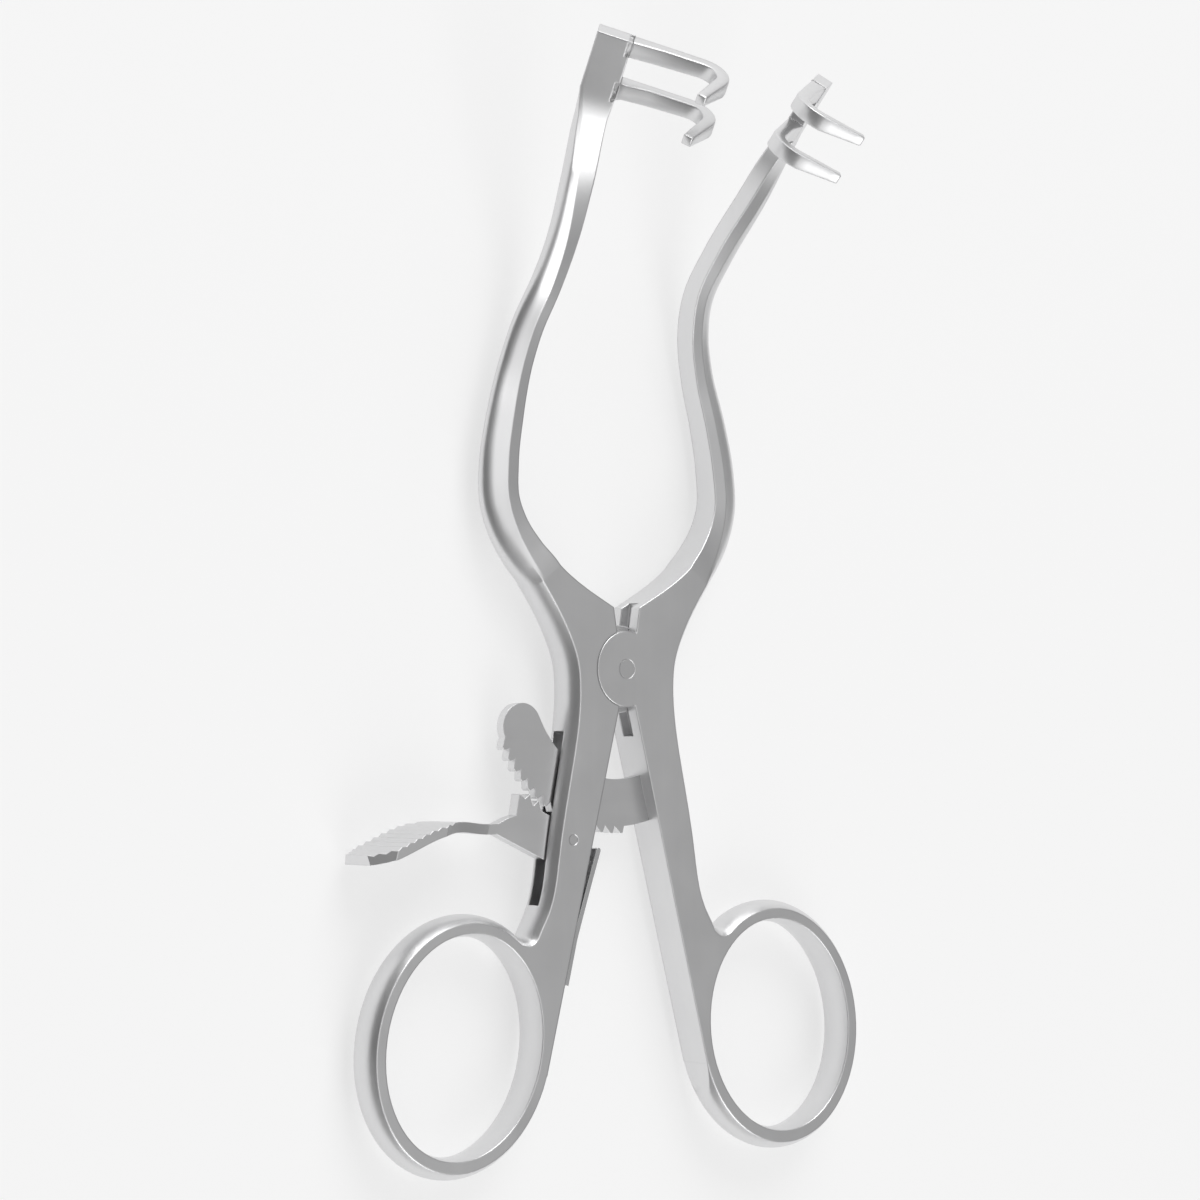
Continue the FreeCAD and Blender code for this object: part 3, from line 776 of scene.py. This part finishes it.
BOW_LINE = (
    Waypoint(13.769, 7.426, 2.40, 3.15, 4.80, 1.15, 0.0, 0.0),
    Waypoint(16.45, 9.18, 2.22, 2.85, 4.44, 1.45, 0.35, 0.0),
    Waypoint(19.05, 11.45, 2.02, 2.65, 4.04, 1.65, 0.75, 0.0),
    Waypoint(20.95, 14.2, 1.88, 2.55, 3.76, 1.75, 1.0, 0.0),
    Waypoint(22.1, 18.8, 1.75, 2.50, 3.50, 1.80, 1.0, 0.0),
    Waypoint(22.45, 24.0, 1.65, 2.35, 3.30, 1.70, 1.0, 0.0),
    Waypoint(22.35, 30.5, 1.62, 2.15, 3.10, 1.45, 1.0, 0.0),
    Waypoint(22.3, 35.0, 2.40, 2.15, 3.00, 1.35, 1.0, 0.0),
    Waypoint(22.45, 39.5, 4.45, 2.20, 2.85, 1.25, 1.0, 0.0),
    Waypoint(23.8, 44.0, 7.80, 2.45, 2.65, 1.00, 0.9, 3.0),
    Waypoint(26.6, 49.9, 12.45, 2.95, 2.35, 0.65, 0.7, 16.0),
)


@dataclass(frozen=True)
class BowProfile:
    """Rule of the arm's section, whose front and back bevels grow along the bow.

    Attributes:
        edge_fall: fall of the full bevel at the rounded side, as a share of the depth.
        wall_fall: fall of the full bevel at the inner wall, as a share of the depth.
        ridge: place of the ridge between the two facets, as a share of the width.
        ridge_shift: how far the full bevel moves it to the inner wall, as a share of the width.
        shoulder: where the rounded side starts, in degrees.
        shoulder_shift: degrees that the full bevel takes off the shoulder.
        side_facets: facets in each half of the rounded side.
    """

    edge_fall: float = 0.105
    wall_fall: float = 0.045
    ridge: float = 0.9
    ridge_shift: float = 0.27
    shoulder: float = 38.8
    shoulder_shift: float = 14.0
    side_facets: int = 5

    def outline(self, at: Waypoint) -> list[tuple[float, float]]:
        """Closed outline of one section.

        Args:
            at: sizes of the section.

        Returns:
            Inner wall, two front facets, rounded side and two facets behind, as
            distances from the inner wall and from mid depth.
        """
        half = at.depth / 2.0
        edge = half - self.edge_fall * at.depth * at.bevel
        wall = half - self.wall_fall * at.depth * at.bevel
        ridge = at.width * (self.ridge - self.ridge_shift * at.bevel)
        start = math.radians(self.shoulder - self.shoulder_shift * at.bevel)
        front = [(0.0, wall), (ridge, half), (at.width, edge)]
        for facet in range(1, self.side_facets):
            turn = start + (math.pi / 2.0 - start) * facet / self.side_facets
            reach = (math.sin(turn) - math.sin(start)) / (1.0 - math.sin(start))
            front.append((at.width + at.bulge * reach, edge * math.cos(turn) / math.cos(start)))
        back = [(out, -high) for out, high in reversed(front)]
        return [*front, (at.width + at.bulge, 0.0), *back]


@dataclass(frozen=True)
class ProngCut:
    """One section of a prong, in millimetres on the blade's own axes.

    Attributes:
        out: reach from the blade's spine.
        rise: from the blade's outer face.
        turn: direction of the prong, in radians from straight out.
        thickness: across the prong in the plane of its hook.
        height: along the blade.
    """

    out: float
    rise: float
    turn: float
    thickness: float
    height: float

    def loop(self) -> list[Vector]:
        """Closed outline of the section.

        Returns:
            Its four corners, as reach, rise and down.
        """
        side = Vector((-math.sin(self.turn), math.cos(self.turn), 0.0)) * (self.thickness / 2.0)
        middle = Vector((self.out, self.rise, 0.0))
        down = Vector((0.0, 0.0, self.height))
        return [middle - side, middle + side, middle + side + down, middle - side + down]


@dataclass(frozen=True)
class Prong:
    """One raked prong, in millimetres on the blade's own axes.

    Attributes:
        height: along the blade at the root.
        bend_height: along the blade where the hook starts.
        tip_height: along the blade at the tip.
        root_thickness: where it leaves the spine.
        thickness: of the straight run and the hook.
        tip_thickness: at the tip.
        thin_at: reach where the root has thinned to the prong.
        bend_at: reach where the hook starts.
        bend_radius: middle line of the hook.
        bend_angle: degrees that the hook turns.
        finger: straight length past the hook.
        soft: rounded edges.
        soft_segments: facets of a rounded edge.
        soft_above: degrees that an edge turns if it is rounded.
        sunk: how deep the root sits in the spine.
        root_relief: how much thinner the root is inside the spine.
        root_gap: how far the top prong stays below the spine's top edge.
        root_margin: how far past the spine an edge reaches if it is rounded.
        flare_reach: reach of the flare's waist, as a share of the flare.
        flare_height: height of the flare's waist, as a share of the flare.
        hook_steps: sections in the hook.
        finger_steps: sections in the finger.
        crease: degrees that an edge turns if it is shaded sharp.
    """

    height: float = 1.95
    bend_height: float = 1.8
    tip_height: float = 1.15
    root_thickness: float = 1.97
    thickness: float = 1.5
    tip_thickness: float = 1.15
    thin_at: float = 3.6
    bend_at: float = 8.0
    bend_radius: float = 2.6
    bend_angle: float = 108.0
    finger: float = 5.2
    soft: float = 0.16
    soft_segments: int = 2
    soft_above: float = 35.0
    sunk: float = 0.5
    root_relief: float = 0.04
    root_gap: float = 0.02
    root_margin: float = 0.01
    flare_reach: float = 0.3
    flare_height: float = 0.35
    hook_steps: int = 8
    finger_steps: int = 5
    crease: float = 40.0

    def _root(self, flare: float) -> list[ProngCut]:
        """Sections in the spine and where the prong leaves it.

        Args:
            flare: extra height there.

        Returns:
            The sections, from the spine outwards.
        """
        thick, rise = self.root_thickness, -self.root_thickness / 2.0
        cuts = [ProngCut(-self.sunk, rise, 0.0, thick - self.root_relief, self.height + flare)]
        if flare:
            waist = self.height + flare * self.flare_height
            cuts.append(ProngCut(flare * self.flare_reach, rise, 0.0, thick, waist))
            cuts.append(ProngCut(flare, rise, 0.0, thick, self.height))
        return cuts

    def _hook(self) -> list[ProngCut]:
        """Sections of the straight run and the hook.

        Returns:
            The sections, from the root outwards.
        """
        middle = self.thickness / 2.0 - self.root_thickness
        cuts = [
            ProngCut(self.thin_at, middle, 0.0, self.thickness, self.height),
            ProngCut(self.bend_at, middle, 0.0, self.thickness, self.bend_height),
        ]
        for step in range(1, self.hook_steps + 1):
            turn = math.radians(self.bend_angle) * step / self.hook_steps
            out = self.bend_at + self.bend_radius * math.sin(turn)
            rise = middle + self.bend_radius * (1.0 - math.cos(turn))
            cuts.append(ProngCut(out, rise, turn, self.thickness, self.bend_height))
        return cuts

    def _finger(self, end: ProngCut) -> list[ProngCut]:
        """Sections of the straight finger, which thins to the tip.

        Args:
            end: last section of the hook.

        Returns:
            The sections, out to the tip.
        """
        cuts = []
        for step in range(1, self.finger_steps + 1):
            share = step / self.finger_steps
            run = self.finger * share
            out, rise = end.out + run * math.cos(end.turn), end.rise + run * math.sin(end.turn)
            thick = self.thickness + (self.tip_thickness - self.thickness) * share
            high = self.bend_height + (self.tip_height - self.bend_height) * share
            cuts.append(ProngCut(out, rise, end.turn, thick, high))
        return cuts

    def loops(self, flare: float) -> list[list[Vector]]:
        """Outlines of the sections from the spine to the tip.

        Args:
            flare: extra height where the prong leaves the spine.

        Returns:
            Closed loops of points.
        """
        cuts = [*self._root(flare), *self._hook()]
        cuts += self._finger(cuts[-1])
        return [cut.loop() for cut in cuts]


@dataclass(frozen=True)
class Forging:
    """Bow, lifted arm, blade and prongs of one arm, drawn in millimetres.

    Attributes:
        node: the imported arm, which is also its body.
        turn: opening of the handle from the centre plane, in degrees; negative is the left arm.
        drop: blade lower along its spine than the other one.
        prong: its prongs.
        profile: section of the bow and the lifted arm.
        prongs: number of prongs.
        pitch: from one prong to the next.
        flare: extra height of the lower prongs where they leave the spine.
        seam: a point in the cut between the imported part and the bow.
        seam_angle: direction of the middle line there, in degrees from straight across.
        corner: top outer corner of a blade that isn't dropped.
        lift: rise of the spine, in degrees.
        splay: turn of the spine away from the centre plane, in degrees.
        roll: turn of the prongs from inward towards the front, in degrees.
        spine_width: along the prongs.
        spine_thickness: across the prongs.
        neck_length: from the stem to the lowest prong.
        stem_width: where the neck starts, as the next four are.
        stem_depth: front to back.
        stem_bulge: rounded side beyond the width.
        stem_bevel: share of the full bevels.
        stem_roll: turn towards the front, in degrees.
        steps: sections between two waypoints.
        bow_crease: degrees that an edge of the bow turns if it is shaded sharp.
        shank_crease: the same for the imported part.
    """

    node: str
    turn: float
    drop: float
    prong: Prong = Prong()
    profile: BowProfile = BowProfile()
    prongs: int = 2
    pitch: float = PRONG_PITCH
    flare: float = 0.6
    seam: tuple[float, float] = (14.4, 6.65)
    seam_angle: float = 39.1312
    corner: tuple[float, float, float] = (35.2, 63.1, 22.8)
    lift: float = 38.4
    splay: float = 24.7
    roll: float = 46.0
    spine_width: float = 4.15
    spine_thickness: float = 1.97
    neck_length: float = 3.2
    stem_width: float = 3.35
    stem_depth: float = 2.0114
    stem_bulge: float = 0.252
    stem_bevel: float = 0.18
    stem_roll: float = 33.12
    steps: int = 6
    bow_crease: float = 24.0
    shank_crease: float = 32.0

    def _seam_tangent(self) -> Vector:
        """Direction of the middle line at the seam."""
        angle = math.radians(self.seam_angle)
        return Vector((math.cos(angle), math.sin(angle), 0.0))

    def _blade_axes(self) -> tuple[Vector, Vector, Vector]:
        """Axes of the blade.

        Returns:
            Directions of the prongs, of the blade's outer face and along its spine.
        """
        rise, splay, roll = (math.radians(value) for value in (self.lift, self.splay, self.roll))
        level = math.cos(rise)
        along = Vector((level * math.sin(splay), level * math.cos(splay), math.sin(rise)))
        outwards = Vector((math.cos(splay), -math.sin(splay), 0.0))
        front = outwards.cross(along)
        reach = front * math.sin(roll) - outwards * math.cos(roll)
        return reach, front * math.cos(roll) + outwards * math.sin(roll), along

    def _line(self) -> list[Waypoint]:
        """Middle line of the arm.

        Returns:
            Waypoints from the joint to the blade's top edge.
        """
        reach, face, along = self._blade_axes()
        width, depth = self.spine_width, self.spine_thickness
        top = Vector(self.corner) - along * self.drop
        top += reach * (width / 2.0) - face * (depth / 2.0)
        foot = self.pitch + self.prong.height
        stem = Waypoint(
            *(top - along * (foot + self.neck_length)),
            width=self.stem_width,
            depth=self.stem_depth,
            bulge=self.stem_bulge,
            bevel=self.stem_bevel,
            roll=self.stem_roll,
        )
        spine = [
            Waypoint(*(top - along * down), width, depth, bulge=0.0, bevel=0.0, roll=self.roll)
            for down in (foot, 0.0)
        ]
        return [*BOW_LINE, stem, *spine]

    def _section(self, at: Waypoint, tangent: Vector) -> list[Vector]:
        """Closed outline of one section in the closed arm's frame.

        Args:
            at: its middle and sizes.
            tangent: direction of the middle line.

        Returns:
            The points of the arm's profile.
        """
        outwards = Vector((tangent.y, -tangent.x, 0.0)).normalized()
        front = outwards.cross(tangent.normalized())
        roll = math.radians(at.roll)
        side = outwards * math.cos(roll) - front * math.sin(roll)
        up = front * math.cos(roll) + outwards * math.sin(roll)
        origin = at.place() - side * ((at.width + at.bulge) / 2.0)
        return [origin + side * out + up * high for out, high in self.profile.outline(at)]

    def _slopes(self, places: Sequence[Vector], runs: Sequence[float]) -> list[Vector]:
        """Direction of the middle line at each waypoint.

        Args:
            places: the waypoints.
            runs: distance from each to the next.

        Returns:
            One direction each; the neck and the spine run straight up the blade.
        """
        slopes = [self._seam_tangent()]
        for index in range(1, len(places) - 2):
            run_in, run_out = runs[index - 1], runs[index]
            before = (places[index] - places[index - 1]) / run_in
            after = (places[index + 1] - places[index]) / run_out
            slopes.append((before * run_out + after * run_in) / (run_in + run_out))
        return [*slopes, *[self._blade_axes()[2]] * 2]

    def _sections(self) -> list[list[Vector]]:
        """Sections of the bow and lifted arm, on a Hermite curve through the waypoints.

        Returns:
            Closed loops of points, from the joint to the blade's top edge.
        """
        line = self._line()
        places = [point.place() for point in line]
        runs = [(after - before).length for before, after in zip(places, places[1:])]
        slopes = self._slopes(places, runs)
        result = []
        for index, run in enumerate(runs):
            straight = index == len(runs) - 1
            start, end = places[index], places[index + 1]
            leave, arrive = slopes[index], slopes[index + 1]
            for t in (0.0, 1.0) if straight else [step / self.steps for step in range(self.steps)]:
                ease = t * t * (3.0 - 2.0 * t)
                place = start * (1.0 - ease) + end * ease
                place += leave * (run * t * (1.0 - t) ** 2) - arrive * (run * t * t * (1.0 - t))
                tangent = (end - start) * (6.0 * t * (1.0 - t) / run)
                tangent += leave * ((1.0 - t) * (1.0 - 3.0 * t)) + arrive * (t * (3.0 * t - 2.0))
                at = line[index].towards(line[index + 1], t, place)
                result.append(self._section(at, tangent))
        return result

    @staticmethod
    def _skin(
        form: bmesh.types.BMesh, loops: Sequence[Sequence[Vector]]
    ) -> list[list[bmesh.types.BMVert]]:
        """Close a skin over loops of points.

        Args:
            form: mesh that takes the skin.
            loops: closed loops with the same number of points.

        Returns:
            The points of each loop.
        """
        rings = []
        edges = []
        for loop in loops:
            points = [form.verts.new(point) for point in loop]
            rings.append(points)
            edges.append([form.edges.new(pair) for pair in zip(points, points[1:] + points[:1])])
        for before, after in zip(edges, edges[1:]):
            bmesh.ops.bridge_loops(form, edges=before + after)
        for ring in (edges[0], edges[-1]):
            bmesh.ops.edgeloop_fill(form, edges=ring)
        return rings

    @staticmethod
    def _mark_sharp(form: bmesh.types.BMesh, degrees: float) -> None:
        """Shade smoothly across every edge that turns less than an angle.

        Args:
            form: the mesh.
            degrees: least angle of an edge that stays sharp.
        """
        crease = math.radians(degrees)
        for face in form.faces:
            face.smooth = True
        for edge in form.edges:
            edge.smooth = len(edge.link_faces) == 2 and edge.calc_face_angle(math.pi) < crease

    def _prongs(self) -> bmesh.types.BMesh:
        """Prongs in the closed arm's frame, with rounded edges.

        Returns:
            Their mesh.
        """
        prong = self.prong
        form = bmesh.new()
        for index in range(self.prongs):
            rings = self._skin(form, prong.loops(self.flare if index else 0.0))
            points = [point for ring in rings for point in ring]
            down = prong.root_gap + index * self.pitch
            bmesh.ops.translate(form, verts=points, vec=(self.spine_width, 0.0, down))
        bmesh.ops.recalc_face_normals(form, faces=form.faces)
        outside = self.spine_width + prong.root_margin
        edges = [
            edge
            for edge in form.edges
            if edge.calc_face_angle(0.0) > math.radians(prong.soft_above)
            and max(point.co.x for point in edge.verts) > outside
        ]
        bmesh.ops.bevel(
            form,
            geom=edges,
            offset=prong.soft,
            segments=prong.soft_segments,
            profile=0.5,
            affect="EDGES",
            material=-1,
            clamp_overlap=True,
        )
        reach, face, along = self._blade_axes()
        axes = Matrix((reach, face, -along)).transposed().to_4x4()
        origin = Vector(self.corner) - along * self.drop
        bmesh.ops.transform(form, matrix=Matrix.Translation(origin) @ axes, verts=form.verts)
        self._mark_sharp(form, prong.crease)
        return form

    def _upper(self) -> bmesh.types.BMesh:
        """Bow, lifted arm and blade spine in the closed arm's frame.

        Returns:
            Their mesh, with the edges of the inner wall and the ridges kept sharp.
        """
        form = bmesh.new()
        rings = self._skin(form, self._sections())
        bmesh.ops.recalc_face_normals(form, faces=form.faces)
        self._mark_sharp(form, self.bow_crease)
        wall_and_ridge = (0, 1, -2, -1)
        for before, after in zip(rings, rings[1:]):
            for index in wall_and_ridge:
                edge = form.edges.get((before[index], after[index]))
                if edge is not None:
                    edge.smooth = False
        return form

    def _opened(self) -> Matrix:
        """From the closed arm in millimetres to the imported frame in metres."""
        mirror = Matrix.Diagonal((math.copysign(1.0, self.turn), 1.0, 1.0, 1.0))
        scale = Matrix.Diagonal((MM, MM, MM, 1.0))
        return Matrix.Rotation(math.radians(self.turn), 4, "Z") @ mirror @ scale

    def _lower(self, packed: bpy.types.Mesh) -> bmesh.types.BMesh:
        """Ring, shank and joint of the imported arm, cut off where the bow starts.

        Args:
            packed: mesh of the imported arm.

        Returns:
            The cut copy.
        """
        form = bmesh.new()
        form.from_mesh(packed)
        bmesh.ops.remove_doubles(form, verts=form.verts, dist=WELD)
        opened = self._opened()
        bmesh.ops.bisect_plane(
            form,
            geom=form.verts[:] + form.edges[:] + form.faces[:],
            dist=WELD,
            plane_co=opened @ Vector((*self.seam, 0.0)),
            plane_no=(opened.to_3x3() @ self._seam_tangent()).normalized(),
            clear_outer=True,
        )
        bmesh.ops.holes_fill(form, edges=[edge for edge in form.edges if edge.is_boundary])
        self._mark_sharp(form, self.shank_crease)
        return form

    def build(self, packed: bpy.types.Object) -> bpy.types.Object:
        """Make the arm's shown piece.

        Args:
            packed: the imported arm.

        Returns:
            The piece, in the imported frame.
        """
        mesh = bpy.data.meshes.new(self.node + "_forging")
        whole = self._lower(packed.data)
        for part in (self._upper(), self._prongs()):
            bmesh.ops.transform(part, matrix=self._opened(), verts=part.verts)
            if self.turn < 0.0:
                bmesh.ops.reverse_faces(part, faces=part.faces)
            part.to_mesh(mesh)
            part.free()
            whole.from_mesh(mesh)
        whole.to_mesh(mesh)
        whole.free()
        piece = bpy.data.objects.new(self.node + "_forging", mesh)
        bpy.context.scene.collection.objects.link(piece)
        return piece


FORGINGS = (
    Forging("left_arm", turn=-HANDLE_OPENING, drop=0.0),
    Forging("right_arm", turn=HANDLE_OPENING, drop=PRONG_PITCH / 2.0),
)


class Retractor:
    """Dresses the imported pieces."""

    def __init__(self, frame: dict) -> None:
        """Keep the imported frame.
        """
        self.nodes = frame["nodes"]
        self.materials: dict[str, bpy.types.Material] = {}

    def _material(self, finish: SteelFinish) -> bpy.types.Material:
        """Material of a finish, made once.

        Args:
            finish: the look.

        Returns:
            Its material.
        """
        if finish.name not in self.materials:
            self.materials[finish.name] = SteelMaterial(finish).build()
        return self.materials[finish.name]

    def forge(self) -> None:
        """Show each arm by its own piece, with the bow, blade and prongs in full shape."""
        for forging in FORGINGS:
            piece = forging.build(self.nodes[forging.node])
            piece.data.materials.append(self._material(NODE_FINISHES[forging.node]))
            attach(piece, forging.node)
            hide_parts(forging.node)
            LOG.info("%s: %d faces", piece.name, len(piece.data.polygons))

    def dress(self) -> None:
        """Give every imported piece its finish."""
        for name, finish in NODE_FINISHES.items():
            material = self._material(finish)
            for slot in self.nodes[name].material_slots:
                slot.material = material
            LOG.info("%s: %s", name, finish.name)


def main() -> None:
    """Build the whole scene."""
    logging.basicConfig(level=logging.INFO)
    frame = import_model()
    cad_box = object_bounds()
    retractor = Retractor(frame)
    retractor.dress()
    retractor.forge()
    low = min(corner[2] for corner in cad_box)
    STUDIO.build(low)
    PhotoCamera().build()
    LOG.info("scene ready, %d pieces", len(frame["nodes"]))


if __name__ == "__main__":
    main()
